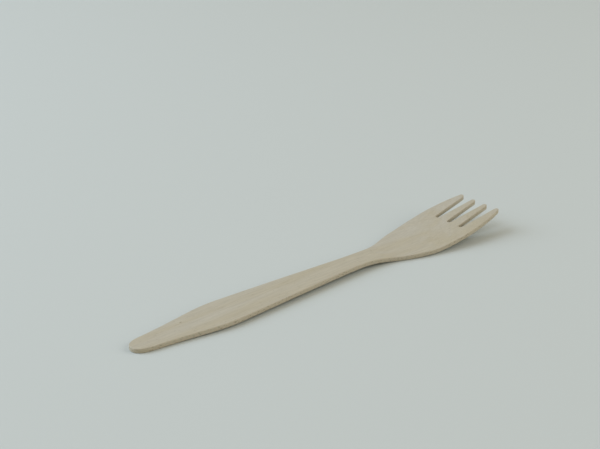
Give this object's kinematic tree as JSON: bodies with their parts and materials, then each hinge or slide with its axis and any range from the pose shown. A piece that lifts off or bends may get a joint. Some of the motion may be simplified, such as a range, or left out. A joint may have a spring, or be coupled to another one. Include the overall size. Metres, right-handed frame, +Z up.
{
  "type": "wooden fork",
  "caption": "Disposable wooden fork of pressed birch veneer, with a waisted flat handle, a shallow bowl and short tines.",
  "frame": {"origin": "on the surface that the fork lies on, under the middle of its bounding box", "axes": "+X along the fork from the end of the handle to the tines, +Z up, out of the bowl's hollow face"},
  "size_m": [0.16, 0.0248, 0.0079],
  "materials": {
    "birch": "sanded, bare, matt"
  },
  "bodies": {
    "root": {"fork": "birch"}
  },
  "joints": []
}
